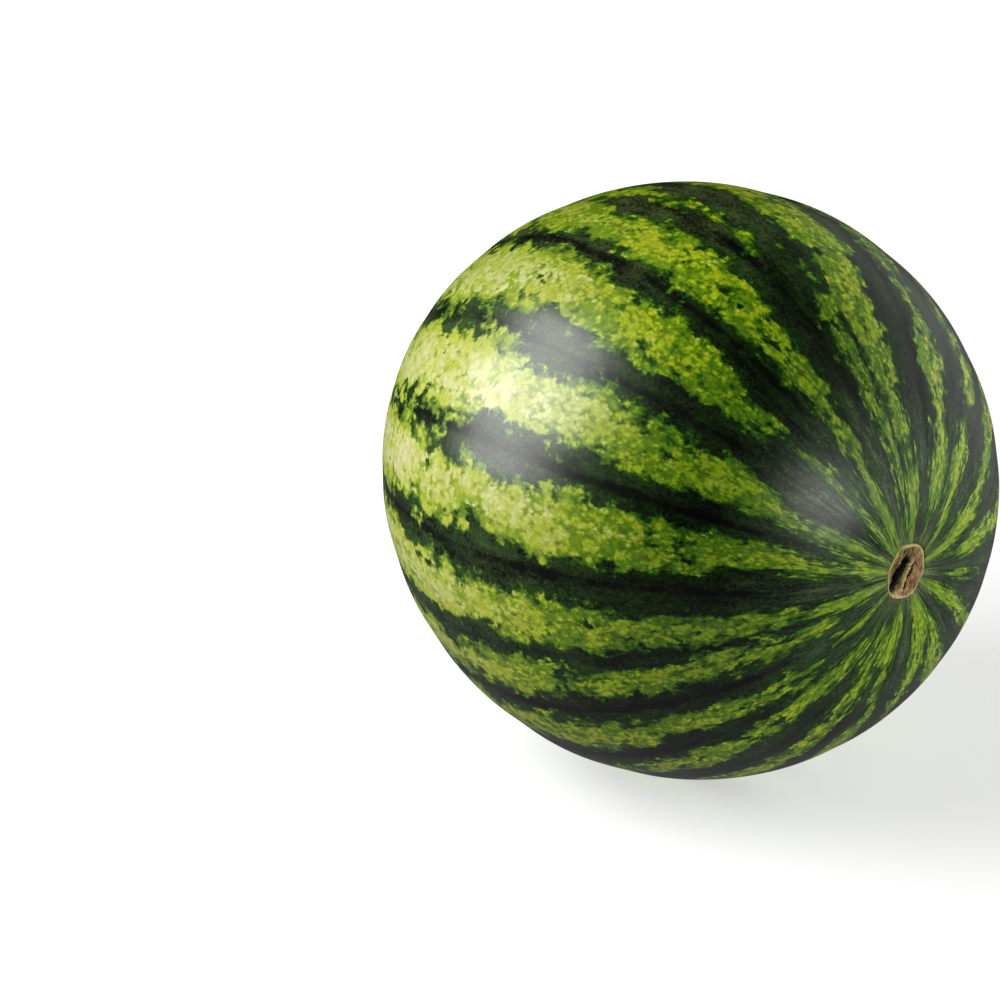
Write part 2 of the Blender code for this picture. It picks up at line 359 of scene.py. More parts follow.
# Near-black veins down the middle of the dark bands, in the same rows
darkVeins = (
    ((15, 68, 0), (20, 67.5, 1.2), (70, 65, 1.2), (120, 68, 1.3), (150, 69, 0)),
    ((30, 96, 0), (38, 96, 1.4), (75, 97, 1.3), (84, 98, 0)),
    ((30, 116, 0), (38, 115.5, 1.2), (90, 115.5, 1.4), (120, 115.5, 1.2), (150, 115, 0)),
    ((34, 136, 0), (42, 136, 1.3), (70, 137, 1.2), (110, 136, 1.1), (150, 136, 0)),
    ((24, 157, 0), (32, 157, 1.4), (90, 157.5, 1.3), (140, 158, 1.0), (155, 158, 0)),
    ((24, 178.5, 0), (32, 178.5, 1.5), (60, 178.5, 1.4), (110, 178.5, 1.3), (150, 178, 0)),
    ((30, 196, 0), (36, 196, 0.9), (60, 196.5, 0.9), (110, 197, 1.2), (150, 197, 0)),
    ((28, 212, 0), (36, 212, 1.3), (78, 212, 1.3), (110, 214, 1.3), (150, 214, 0)),
    ((24, 228, 0), (34, 228, 1.2), (80, 230, 1.2), (110, 232, 1.2), (150, 231, 0)),
    ((20, 244, 0), (34, 246, 1.2), (80, 247, 1.2), (110, 249, 1.2), (150, 249, 0)),
    ((26, 262, 0), (40, 262, 1.2), (80, 264, 1.2), (110, 265, 1.2), (150, 266, 0)),
    ((26, 277, 0), (40, 277, 1.2), (80, 280, 1.2), (150, 282, 0)),
    ((30, 293, 0), (40, 292, 1.2), (80, 295, 1.2), (150, 298, 0)),
    ((24, 311, 0), (40, 311, 1.3), (80, 313, 1.3), (150, 313, 0)),
    ((30, 333, 0), (40, 332, 1.1), (80, 331, 1.1), (150, 331, 0)),
    ((24, 351, 0), (40, 350, 1.3), (80, 350, 1.3), (150, 350, 0)),
    ((24, 11, 0), (40, 12, 1.4), (80, 12, 1.3), (150, 12, 0)),
    ((24, 33, 0), (40, 33, 1.2), (80, 34, 1.2), (150, 34, 0)),
    ((24, 51, 0), (40, 50, 1.2), (80, 52, 1.2), (150, 52, 0)),
    ((96, 85, 0), (106, 85, 1.1), (140, 85, 1.1), (150, 85, 0)),
)


def rindAngles(mesh):  # of every point: from the stem end, and round the fruit, in degrees
    points = np.empty(len(mesh.vertices) * 3)
    mesh.vertices.foreach_get("co", points)
    points = points.reshape(-1, 3)
    y, z = points[:, 1], points[:, 2] - fruit["centreHeight"]
    across = np.hypot(y, z) / fruit["diameter"]
    along = (points[:, 0] - fruit["shift"]) / fruit["length"]
    return np.degrees(np.arctan2(across, along)), np.degrees(np.arctan2(z, y))


def insideLines(fromStem, longitude, lines):  # millimetres inside the nearest line's edge
    farOutside, tailLength = -99.0, 6.0  # degrees
    inside = np.full(len(fromStem), farOutside)
    for line in lines:
        rows = np.array(line, float)
        tail = rows[:, 2].min() - tailLength
        angles = np.concatenate(([rows[0, 0] - tailLength], rows[:, 0], [rows[-1, 0] + tailLength]))
        halfWidths = np.concatenate(([tail], rows[:, 2], [tail]))
        middle = np.interp(fromStem, rows[:, 0], rows[:, 1])
        apart = np.abs((longitude - middle + 180) % 360 - 180)
        inside = np.maximum(inside, np.interp(fromStem, angles, halfWidths) - apart)
    return inside * math.pi * fruit["diameter"] * 1000 / 360


def addAttribute(mesh, name, values):
    attribute = mesh.attributes.new(name, "FLOAT", "POINT")
    attribute.data.foreach_set("value", values.astype(np.float32))


# Materials

rindLook = {
    "veryPale": (0.55, 0.54, 0.28),
    "pale": (0.46, 0.495, 0.15),
    "yellowPale": (0.385, 0.435, 0.050),
    "yellowGreen": (0.305, 0.380, 0.003),
    "leafPale": (0.25, 0.34, 0.026),
    "leafGreen": (0.115, 0.225, 0.001),
    "midPale": (0.125, 0.21, 0.018),
    "midGreen": (0.034, 0.105, 0.001),
    "deepPale": (0.022, 0.060, 0.010),
    "deepGreen": (0.006, 0.036, 0.001),
    "bandPale": (0.030, 0.056, 0.016),
    "bandGreen": (0.012, 0.030, 0.004),
    # painted reflection: the dark bands lighter on the top of the far half, a grazing sheen
    "bandTopSheen": (0.050, 0.066, 0.020),
    "bandStem": (0.027, 0.045, 0.022),
    # painted reflection: a grey-green haze over the dark bands near the stem end, where the right softbox's
    # sheen falls
    "paintedHaze": (0.085, 0.125, 0.040),
    "stemRays": (0.072, 0.120, 0.028),
    "collar": (0.13, 0.20, 0.035),  # round the stalk
    "blossomButton": (0.12, 0.075, 0.035),
    "shoulderShade": (0.44, 0.57, 0.42),  # painted shade: the skin darkened between the stem end and the middle
    # painted shade: the light stripes darker on the top of the far half
    "topShadeTint": (0.80, 0.84, 0.75),
    "stemRaysShare": 0.5,
    # how far the painted reflection haze goes
    "paintedHazeShare": 0.75,
    "collarShare": 0.75,
    "veinShare": 0.62,
    "besideVeinShare": 0.26,
    "bandLevel": 1.06,
    "darkestBand": 0.15,
    "steepness": 0.8,  # of the field in from a stripe's edge
    "deepest": 5.0,  # millimetres inside an edge, past which the yellow grows no more
    "patchesInLeaf": 6.0,
    "buttonRaggedness": 0.03,
    "buttonMottling": 3.0,
    "earlyOnSunSide": 11,  # degrees by which the far half begins sooner there
    "metresARadian": 0.125,  # of the skin's length, for one radian from the stem end
    "pebblesAMetre": 430.0,
    "wanderReach": 0.004,
    "pebbleReach": 0.003,
    "roughness": 0.21,  # at its least
    "bump": 0.00012,
    "bumpStrength": 0.6,
    "specular": 0.6,
}

# The rind's noises: features a metre, detail, roughness, how far the noise is squeezed along the
# fruit to draw it out there, and its own shift
rindNoise = {
    "wander": (60.0, 2.0, 0.5, 1.0, None),
    "lobes": (38.0, 2.0, 0.5, 1.0, None),
    "blotches": (125.0, 2.0, 0.5, 1.0, None),
    "mottles": (290.0, 2.0, 0.5, 1.0, None),
    "specks": (820.0, 1.0, 0.5, 1.0, None),
    "patches": (170.0, 2.5, 0.55, 1.0, (0.3, 0.7, 0.1)),
    "glades": (58.0, 1.0, 0.5, 1.0, (0.4, 0.5, 0.9)),
    "unsettled": (360.0, 1.0, 0.5, 1.0, None),
    "streaks": (215.0, 3.0, 0.62, 0.22, None),
    "rays": (290.0, 2.0, 0.55, 0.09, None),
    "holes": (118.0, 2.0, 0.55, 1.0, (0.9, 0.2, 0.6)),
    "smoke": (62.0, 3.0, 0.6, 0.55, (0.9, 0.2, 0.6)),
    "marble": (90.0, 5.0, 0.62, 1.0, None),
    "pores": (900.0, 3.0, 0.6, 1.0, None),
    "swell": (190.0, 2.0, 0.5, 1.0, None),
    "wear": (35.0, 4.0, 0.6, 1.0, None),
}

# Parts of the rind, by the angle from the stem end in degrees: from none to all
rindZones = {
    "nearStem": (44, 12),
    "farHalf": (55, 100),
    "collar": (10, 5),
    "button": (177.7, 178.6),
}

# Sides of the rind: the way each faces, and how directly the skin has to face it, from none to all
rindSides = {
    "sunny": ((0.0, -0.94, 0.34), 0.45, 0.95),  # where the light stripes are palest
    "sunniest": ((0.0, -0.94, 0.34), 0.85, 1.0),
    "shady": ((0.0, -0.82, 0.57), 0.0, 0.7),  # which way the painted shade of the shoulder faces
    "paintedHazeSide": ((0.0, -0.62, 0.79), 0.6, 0.95),  # where the painted reflection haze by the stem end lies
    # the top, where the bands get a painted sheen and the stripes painted shade
    "top": ((0.0, 0.1, 1.0), 0.5, 1.0),
}

# Numbers that change with a share: where it is none and where it is all
rindShifts = {
    "paleBySun": (0.20, 1.0),
    "raggedByStem": (1.0, 0.25),
    "holesByStem": (-1.0, 0.0),
    "holesByBlossom": (4.4, 1.1),
    "plateauByBlossom": (4.1, 7.1),
    "yellowByStem": (1.0, 0.58),
    "paleByBlossom": (0.45, 1.0),
    "veryPaleByBlossom": (0.2, 1.0),
}

# Rings round the stem end: middle and half width in degrees
rindRings = {
    # the ring of painted reflection haze near the stem end
    "paintedHaze": (23, 9),
    # the ring of painted shade between the stem end and the middle
    "shoulderShade": (42.5, 16.5),
}

# How far each layer counts in a sum. Those of the stripes' edges are in millimetres.
rindWeights = {
    "raggedness": {"lobes": 11.0, "blotches": 17.0, "mottles": 6.0, "pebble": 1.2, "chance": 0.6,
                   "specks": 3.0},
    "edge": {"raggedness": 1.0, "streaks": 7.0, "stemStreaks": 9.0, "stemMottles": 4.5, "nearStem": 0.75},
    "yellowing": {"inside": 0.25, "patches": 13.0, "glades": 7.5, "pebble": 3.4, "chance": 0.8,
                  "core": 1.3, "toBlossom": 1.9, "mottles": 6.5, "stemMottles": 2.5, "streaks": 5.0},
    "paling": {"blotches": -8.0, "pebble": 2.0, "chance": 1.0, "mottles": 8.0, "blossomCore": 4.2,
               "lobes": 6.0},
    "flatness": {"nearStem": 1.9, "toBlossom": 0.45},
    # mottling of the painted reflection haze
    "paintedHazeMottling": {"blotches": 1.0, "mottles": 0.8, "rays": 1.0},
    "speckling": {"specks": 0.8, "pebble": 0.85, "mottles": 0.6},
    "calm": {"toBlossom": -0.72, "nearStem": -0.3},
    "marbling": {"marble": 1.0, "pebble": 0.15},
    "veining": {"darkVein": 1.0, "blotches": 6.0, "lobes": 7.0},
    "bandShade": {"marbled": -0.42, "specks": 2.4, "streaks": 1.8, "smoke": 3.2},
    "relief": {"pores": 0.35, "swell": 0.65},
    "gloss": {"wear": 0.10, "pores": 0.06},
}

# Soft steps: the value in the middle of the step and half its breadth, or for the last three where
# the step begins and ends
rindSteps = {
    "deepGreen": (-1.6, 1.2),
    "midGreen": (0.0, 1.0),
    "leafGreen": (1.6, 1.2),
    "inStripe": (1.2, 1.0),
    "inBand": (-1.2, 1.2),
    "yellow": (2.55, 1.4),
    "pale": (3.1, 2.3),
    "veryPale": (5.4, 2.6),
    "holes": (0.645, 0.08),
    "rays": (0.03, 0.10),
    "collar": (0.0, 0.10),
    # step of the painted reflection haze
    "paintedHaze": (0.0, 0.14),
    "marble": (0.50, 0.14),
    "core": (1.0, 9.0),
    "vein": (0.0, 2.2),
    "besideVein": (-4.0, 1.0),
}


def newMaterial(name):
    material = bpy.data.materials.new(name)
    material.use_nodes = True
    tree = material.node_tree
    return material, tree, tree.nodes["Principled BSDF"]


def objectPlace(tree, offset, turn=(0, 0, 0)):
    coordinates = tree.nodes.new("ShaderNodeTexCoord")
    mapping = tree.nodes.new("ShaderNodeMapping")
    mapping.inputs["Location"].default_value = offset
    mapping.inputs["Rotation"].default_value = turn
    tree.links.new(coordinates.outputs["Object"], mapping.inputs["Vector"])
    return mapping.outputs[0]


def attributeOf(tree, name):
    node = tree.nodes.new("ShaderNodeAttribute")
    node.attribute_name = name
    return node.outputs["Fac"]


def ramp(tree, value, stops):
    low, high = stops[0][0], stops[-1][0]
    spread = tree.nodes.new("ShaderNodeMapRange")
    spread.inputs["From Min"].default_value = low
    spread.inputs["From Max"].default_value = high
    tree.links.new(value, spread.inputs["Value"])
    node = tree.nodes.new("ShaderNodeValToRGB")
    elements = node.color_ramp.elements
    while len(elements) < len(stops):
        elements.new(0.5)
    for element, (place, colour) in zip(elements, stops):
        element.position = (place - low) / (high - low)
        element.color = (*colour, 1.0)
    tree.links.new(spread.outputs["Result"], node.inputs["Fac"])
    return node.outputs["Color"]


def shadeOf(tree, value):  # a grey of that brightness
    return join(tree, value, value, value)


def blend(tree, factor, first, second, mode="MIX"):
    node = tree.nodes.new("ShaderNodeMix")
    node.data_type = "RGBA"
    node.blend_type = mode
    feed(tree, node.inputs["Factor"], factor)
    for socket, colour in ((node.inputs[6], first), (node.inputs[7], second)):
        feed(tree, socket, (*colour, 1.0) if isinstance(colour, tuple) else colour)
    return node.outputs[2]


def tinted(tree, colour, tint, share):  # the colour multiplied by a tint, as far as the share goes
    return blend(tree, share, colour, blend(tree, 1.0, colour, tint, "MULTIPLY"))


def rindGrain(tree, place, name, output="Fac"):  # one of the noises of the table above
    scale, detail, roughness, squeeze, shift = rindNoise[name]
    if shift:
        place = vectorCalc(tree, "ADD", place, shift)
    if squeeze != 1.0:
        place = vectorCalc(tree, "MULTIPLY", place, (squeeze, 1.0, 1.0))
    return grain(tree, place, scale, detail, roughness, output)


def jostled(tree, place, name, reach):  # moved about by a noise
    aside = vectorCalc(tree, "SUBTRACT", rindGrain(tree, place, name, "Color"), (0.5, 0.5, 0.5))
    return vectorCalc(tree, "ADD", place, vectorCalc(tree, "SCALE", aside, reach))


def weighted(tree, layers, name):  # the sum of the layers that count, each times its weight
    parts = [product(tree, layers[layer], weight) for layer, weight in rindWeights[name].items()]
    return total(tree, *parts)


def zone(tree, fromStem, name):  # 0 to 1 between the two angles from the stem end
    return ease(tree, fromStem, *(math.radians(angle) for angle in rindZones[name]))


def ring(tree, fromStem, name):  # 1 at one angle from the stem end, falling off on both sides
    middle, halfWidth = (math.radians(angle) for angle in rindRings[name])
    return hump(tree, calc(tree, "SUBTRACT", fromStem, middle), halfWidth)


def towards(tree, outward, side):  # 0 to 1 as the skin turns to that side
    facing, low, high = rindSides[side]
    return ease(tree, vectorCalc(tree, "DOT_PRODUCT", outward, facing), low, high)


def shifted(tree, share, name):  # from the one number to the other as the share grows
    none, full = rindShifts[name]
    return calc(tree, "MULTIPLY_ADD", share, full - none, none)


def rindPlaces(tree, place):  # where a point of the rind is, as its patterns see it
    x, y, z = split(tree, place)
    outward = vectorCalc(tree, "NORMALIZE", join(tree, 0.0, y, z))
    across = calc(tree, "SQRT", total(tree, product(tree, y, y), product(tree, z, z)))
    fromStem = calc(tree, "ARCTAN2", product(tree, across, 1 / fruit["diameter"]),
                    product(tree, x, 1 / fruit["length"]))

    # Skin coordinates: along the surface from the stem end, and round the fruit as on a cylinder, so
    # that the mottling draws out into streaks towards both ends
    roundFruit = vectorCalc(tree, "SCALE", outward, fruit["diameter"] / 2)
    along = product(tree, fromStem, rindLook["metresARadian"])
    skin = vectorCalc(tree, "ADD", roundFruit, join(tree, along, 0.0, 0.0))
    return outward, fromStem, jostled(tree, skin, "wander", rindLook["wanderReach"])


def rindLayers(tree, outward, fromStem, skin):  # all that the rind's colours are mixed from
    look = rindLook
    names = ("lobes", "blotches", "mottles", "specks", "patches", "glades", "streaks", "rays", "smoke")
    layers = {name: centred(tree, rindGrain(tree, skin, name)) for name in names}
    layers["marble"] = rindGrain(tree, skin, "marble")
    layers["pebble"], layers["chance"] = pebbles(
        tree, jostled(tree, skin, "unsettled", look["pebbleReach"]), look["pebblesAMetre"])
    layers["lightStripe"] = attributeOf(tree, "lightStripe")
    layers["darkVein"] = attributeOf(tree, "darkVein")

    early = product(tree, towards(tree, outward, "sunniest"), math.radians(look["earlyOnSunSide"]))
    layers["nearStem"] = zone(tree, fromStem, "nearStem")
    layers["farHalf"] = zone(tree, calc(tree, "ADD", fromStem, early), "farHalf")
    pale = shifted(tree, towards(tree, outward, "sunny"), "paleBySun")
    layers["toBlossom"] = product(tree, layers["farHalf"], pale)
    # The top of the far half: painted sheen on the bands, painted shade on the stripes
    layers["topSide"] = product(tree, layers["farHalf"], towards(tree, outward, "top"))
    layers["core"] = ease(tree, layers["lightStripe"], *rindSteps["core"])
    layers["blossomCore"] = product(tree, layers["toBlossom"], layers["core"])
    layers["stemStreaks"] = product(tree, layers["streaks"], layers["nearStem"])
    layers["stemMottles"] = product(tree, layers["mottles"], layers["nearStem"])

    # The field is roughly millimetres inside a light stripe's edge, made ragged and with holes
    layers["raggedness"] = product(tree, weighted(tree, layers, "raggedness"),
                                   shifted(tree, layers["nearStem"], "raggedByStem"))
    holes = product(tree, level(tree, rindGrain(tree, skin, "holes"), *rindSteps["holes"]),
                    shifted(tree, layers["toBlossom"], "holesByBlossom"),
                    shifted(tree, layers["nearStem"], "holesByStem"))
    flatness = calc(tree, "ADD", 1.0, weighted(tree, layers, "flatness"))
    rise = product(tree, layers["lightStripe"], calc(tree, "DIVIDE", look["steepness"], flatness))
    plateau = shifted(tree, layers["toBlossom"], "plateauByBlossom")
    layers["field"] = total(tree, calc(tree, "MINIMUM", rise, plateau),
                            weighted(tree, layers, "edge"), holes)
    layers["inside"] = calc(tree, "MINIMUM", layers["field"], look["deepest"])
    layers["inStripe"] = level(tree, layers["field"], *rindSteps["inStripe"])
    return layers


def bandColour(tree, layers, outward, fromStem):  # of the dark bands
    look = rindLook
    band = blend(tree, layers["farHalf"], look["bandGreen"], look["bandPale"])
    band = blend(tree, layers["nearStem"], band, look["bandStem"])
    rays = product(tree, level(tree, layers["rays"], *rindSteps["rays"]), layers["nearStem"],
                   look["stemRaysShare"])
    band = blend(tree, rays, band, look["stemRays"])
    # Painted reflection: a grey-green haze over the bands in a ring near the stem end, on one side
    paintedHazeMottling = level(tree, weighted(tree, layers, "paintedHazeMottling"), *rindSteps["paintedHaze"])
    paintedHaze = product(tree, ring(tree, fromStem, "paintedHaze"), towards(tree, outward, "paintedHazeSide"),
                    paintedHazeMottling, look["paintedHazeShare"])
    band = blend(tree, paintedHaze, band, look["paintedHaze"])
    # Painted reflection: the bands lighter on the top
    return blend(tree, layers["topSide"], band, look["bandTopSheen"])


def stripeColours(tree, layers, band):  # from the bands in through the greens of the light stripes
    look, toBlossom = rindLook, layers["toBlossom"]
    deep = blend(tree, toBlossom, look["deepGreen"], look["deepPale"])
    mid = blend(tree, toBlossom, look["midGreen"], look["midPale"])
    leaf = blend(tree, toBlossom, look["leafGreen"], look["leafPale"])
    yellowLeaf = blend(tree, toBlossom, look["yellowGreen"], look["yellowPale"])
    green = blend(tree, level(tree, layers["field"], *rindSteps["deepGreen"]), band, deep)
    green = blend(tree, level(tree, layers["field"], *rindSteps["midGreen"]), green, mid)
    patched = total(tree, layers["field"], product(tree, layers["patches"], look["patchesInLeaf"]))
    green = blend(tree, level(tree, patched, *rindSteps["leafGreen"]), green, leaf)

    # Yellow and pale patches, more of them towards the blossom end
    yellow = product(tree, level(tree, weighted(tree, layers, "yellowing"), *rindSteps["yellow"]),
                     layers["inStripe"], shifted(tree, layers["nearStem"], "yellowByStem"))
    green = blend(tree, yellow, green, yellowLeaf)
    paling = weighted(tree, layers, "paling")
    paler = product(tree, level(tree, paling, *rindSteps["pale"]), yellow,
                    shifted(tree, toBlossom, "paleByBlossom"))
    green = blend(tree, paler, green, look["pale"])
    palest = product(tree, level(tree, paling, *rindSteps["veryPale"]), yellow,
                     shifted(tree, toBlossom, "veryPaleByBlossom"))
    return blend(tree, palest, green, look["veryPale"])


def bandShade(tree, layers):  # marbling and near-black veins of the dark bands
    look = rindLook
    inBand = calc(tree, "SUBTRACT", 1.0, level(tree, layers["field"], *rindSteps["inBand"]))
    layers["marbled"] = level(tree, weighted(tree, layers, "marbling"), *rindSteps["marble"])
    veining = weighted(tree, layers, "veining")
    onVein = product(tree, ease(tree, veining, *rindSteps["vein"]), look["veinShare"])
    besideVein = product(tree, ease(tree, veining, *rindSteps["besideVein"]), look["besideVeinShare"])
    veined = calc(tree, "ADD", onVein, besideVein)
    shade = product(tree, weighted(tree, layers, "bandShade"), inBand)
    shade = calc(tree, "ADD", look["bandLevel"], shade)
    return product(tree, calc(tree, "MAXIMUM", shade, look["darkestBand"]),
                   calc(tree, "SUBTRACT", 1.0, product(tree, veined, inBand)))


def addWax(tree, place, shader):  # the gloss and the fine pits of the skin
    layers = {name: rindGrain(tree, place, name) for name in ("pores", "swell", "wear")}
    bump = tree.nodes.new("ShaderNodeBump")
    bump.inputs["Distance"].default_value = rindLook["bump"]
    bump.inputs["Strength"].default_value = rindLook["bumpStrength"]
    tree.links.new(weighted(tree, layers, "relief"), bump.inputs["Height"])
    tree.links.new(bump.outputs[0], shader.inputs["Normal"])
    worn = total(tree, rindLook["roughness"], weighted(tree, layers, "gloss"))
    tree.links.new(worn, shader.inputs["Roughness"])
    shader.inputs["Specular IOR Level"].default_value = rindLook["specular"]


def makeRindMaterial():
    look = rindLook
    material, tree, shader = newMaterial("rind")
    place = objectPlace(tree, (-fruit["shift"], 0.0, -fruit["centreHeight"]))
    outward, fromStem, skin = rindPlaces(tree, place)
    layers = rindLayers(tree, outward, fromStem, skin)
    green = stripeColours(tree, layers, bandColour(tree, layers, outward, fromStem))

    # Speckles over everything, calmer where the skin is pale and by the stem
    calmer = calc(tree, "ADD", 1.0, weighted(tree, layers, "calm"))
    speckled = calc(tree, "ADD", product(tree, weighted(tree, layers, "speckling"), calmer), 1.0)
    green = blend(tree, 1.0, green, shadeOf(tree, speckled), "MULTIPLY")
    collar = product(tree, zone(tree, fromStem, "collar"),
                     level(tree, layers["rays"], *rindSteps["collar"]), look["collarShare"])
    green = blend(tree, collar, green, look["collar"])
    # Painted shade between the stem end and the middle, on one side
    shoulderShade = product(tree, ring(tree, fromStem, "shoulderShade"), towards(tree, outward, "shady"))
    green = tinted(tree, green, look["shoulderShade"], shoulderShade)
    # Painted shade: the light stripes darker on the top
    green = tinted(tree, green, look["topShadeTint"], product(tree, layers["topSide"], layers["inStripe"]))
    green = blend(tree, 1.0, green, shadeOf(tree, bandShade(tree, layers)), "MULTIPLY")

    ragged = product(tree, layers["mottles"], look["buttonRaggedness"])
    button = zone(tree, calc(tree, "ADD", fromStem, ragged), "button")
    mottled = calc(tree, "ADD", 1.0, product(tree, layers["mottles"], look["buttonMottling"]))
    brown = blend(tree, 1.0, look["blossomButton"], shadeOf(tree, mottled), "MULTIPLY")
    tree.links.new(blend(tree, button, green, brown), shader.inputs["Base Color"])
    addWax(tree, place, shader)
    return material


def socketName(key):  # stemFullness becomes Stem Fullness
    return "".join(" " + letter if letter.isupper() else letter for letter in key).title()


def makeRind():
    settings = {socketName(key): value for key, value in fruit.items() if isinstance(value, (int, float))}
    settings["Stub Radius"] = stub["radius"]
    settings["Oval Turn"] = math.radians(stub["ovalLongitude"])
    settings["Corner Turn"] = math.radians(stub["cornerLongitude"])
    settings["Material"] = makeRindMaterial()
    rind = meshFromTree("rind", makeRindTree(settings), settings)
    fromStem, longitude = rindAngles(rind.data)
    addAttribute(rind.data, "lightStripe", insideLines(fromStem, longitude, lightStripes))
    addAttribute(rind.data, "darkVein", insideLines(fromStem, longitude, darkVeins))
    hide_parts("melon")
    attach(rind, "root")
    print("rind made:", len(rind.data.polygons), "faces")


# Dry end of the stalk, in millimetres. Places on it are +Y and +Z from the middle of its face, and a
# share is of the way from there to its edge.
stubFace = {
    "split": ((0.5, 4.1), (-2.2, 1.0), (-4.7, -2.2), (-6.9, -4.9)),
    "splitHalfWidth": 1.50,
    "splitWobble": 0.4,
    "splitDepth": 2.9,
    "ridge": ((3.2, 3.4), (1.2, 0.8), (-0.5, -1.6), (-2.4, -7.0)),
    "ridgeHalfWidth": 0.75,
    "ridgeWobble": 0.5,
    "ridgeRise": 0.8,
    "crack": ((4.6, 2.2), (2.3, -2.0), (0.9, -4.0), (-0.4, -6.6)),
    "crackHalfWidth": 0.40,
    "crackWobble": 0.6,
    "crackDepth": 1.5,
    "crust": (-5.2, -8.2),
    "crustRise": 0.6,
    "crustRadius": 1.5,
    "crustPaleRadius": 1.3,
    "ridgePaleHalfWidth": 0.65,
    "rimRise": 0.95,
    "rimShare": 0.93,
    "rimHalfWidth": 0.075,
    "rimWobble": 0.25,
    "bendReach": 0.75,
    "jagReach": 0.40,
    "faceLevel": 0.25,
    "fibreRise": 0.42,
    "fibreTurn": 54,  # degrees, the way the fibres run
    "crumbRise": 0.26,
    "edgeDrop": 0.6,
    "faceEnd": (0.97, 0.12),  # share at which the face's relief ends, and the share it fades over
    "dropStart": (0.95, 0.05),
    "lowest": -2.75,
    "highest": 1.12,
    "footShare": 0.94,
    "pinkSide": (0.32, -0.18, 0.24),  # share of pink a millimetre along +Y and +Z, and in the middle
    "seed": 5,
}

# Noises of the stalk end's shape: how many features a millimetre, and where in the noise it lies
stubNoise = {
    "bends": (0.55, 0.55, 40.0),
    "jags": (1.6, 1.6, 60.0),
    "fibres": (0.22, 1.5, 3.0),
    "crumbs": (1.3, 1.3, 8.0),
    "wobble": (0.6, 0.6, 21.0),
}


def distanceToLine(point, line):
    distances = []
    for first, second in zip(line, line[1:]):
        a, b = Vector(first), Vector(second)
        share = max(0.0, min(1.0, (point - a).dot(b - a) / (b - a).length_squared))
        distances.append((point - a.lerp(b, share)).length)
    return min(distances)


def fall(distance, width):
    return math.exp(-((distance / width) ** 2))


def ease01(share):
    share = max(0.0, min(1.0, share))
    return share * share * (3 - 2 * share)


def stubEdge(longitude):
    ovalTurn = longitude - math.radians(stub["ovalLongitude"])
    cornerTurn = longitude - math.radians(stub["cornerLongitude"])
    oval = stub["oval"] * math.cos(2 * ovalTurn)
    corners = stub["corners"] * math.cos(stub["cornerCount"] * cornerTurn)
    return stub["radius"] * 1000 * (1 + oval + corners)


def noisePlace(name, point):
    across, up, layer = stubNoise[name]
    return Vector((point.x * across, point.y * up, layer))


def bentPlace(point):  # moved a little, so that the lines come out ragged
    bends = noise.noise_vector(noisePlace("bends", point)) * stubFace["bendReach"]
    aside = bends + noise.noise_vector(noisePlace("jags", point)) * stubFace["jagReach"]
    return point + Vector((aside.x, aside.y))


def stubLine(name, bent, wobble):  # 1 on the named line, falling off beside it, with an uneven width
    halfWidth = stubFace[name + "HalfWidth"] * (1 + stubFace[name + "Wobble"] * wobble)
    return fall(distanceToLine(bent, stubFace[name]), halfWidth)


def stubRelief(point, share):  # height in millimetres above the basin's floor
    face = stubFace
    bent = bentPlace(point)
    turned = Matrix.Rotation(-math.radians(face["fibreTurn"]), 2) @ point
    fibres = noise.fractal(noisePlace("fibres", turned), 0.9, 2.1, 4)
    crumbs = noise.fractal(noisePlace("crumbs", point), 0.8, 2.2, 4)
    wobble = noise.noise(noisePlace("wobble", point))
    rim = face["rimRise"] * fall(share - face["rimShare"], face["rimHalfWidth"])
    rim *= 1.0 + face["rimWobble"] * wobble
    fromCrust = (bent - Vector(face["crust"])).length
    crust = face["crustRise"] * fall(fromCrust, face["crustRadius"]) * (1 + crumbs)
    flat = face["faceLevel"] + face["fibreRise"] * fibres + face["crumbRise"] * crumbs + crust
    ridge = face["ridgeRise"] * stubLine("ridge", bent, wobble) * (1.0 + 0.5 * crumbs)
    crack = face["crackDepth"] * stubLine("crack", bent, wobble)
    split = face["splitDepth"] * stubLine("split", bent, wobble)
    (faceEnd, fading), (dropStart, dropping) = face["faceEnd"], face["dropStart"]
    inner, outer = ease01((faceEnd - share) / fading), ease01((share - dropStart) / dropping)
    lift = rim + inner * (flat + ridge - crack - split) - face["edgeDrop"] * outer
    return max(face["lowest"], min(face["highest"], lift))


stubLook = {
    "pink": (  # colours by height in millimetres, as those below; the lower, the darker, near-black deep down: painted shade in the split and cracks over the stalk's own browns
        (-2.0, (0.003, 0.002, 0.001)), (-0.9, (0.014, 0.007, 0.003)), (-0.2, (0.085, 0.042, 0.018)),
        (0.35, (0.31, 0.180, 0.083)), (0.95, (0.47, 0.31, 0.145)), (1.8, (0.58, 0.43, 0.20))),
    "olive": (
        (-2.0, (0.003, 0.002, 0.001)), (-0.9, (0.012, 0.008, 0.003)), (-0.2, (0.050, 0.036, 0.012)),
        (0.35, (0.190, 0.140, 0.052)), (0.95, (0.31, 0.245, 0.095)), (1.8, (0.46, 0.38, 0.16))),
    "ridge": ((0.42, 0.29, 0.095), (0.88, 0.72, 0.32)),
    "ridgeHeights": (-0.6, 0.4),
    "rim": ((0.28, 0.26, 0.06), (0.66, 0.60, 0.26)),
    "rimShares": (0.86, 0.94),
    "rimRaggedness": 0.16,
    "fibreStretch": (1.0, 0.22, 1.6),
    "fibres": (1500.0, 4.0, 0.65),  # features a metre, detail, roughness
    "fibreHeight": 2.6,
    "patches": (320.0, 3.0, 0.6),
    "patchHeight": 1.6,
    "roughness": 0.85,
    "specular": 0.25,
    "bump": 0.0004,
}


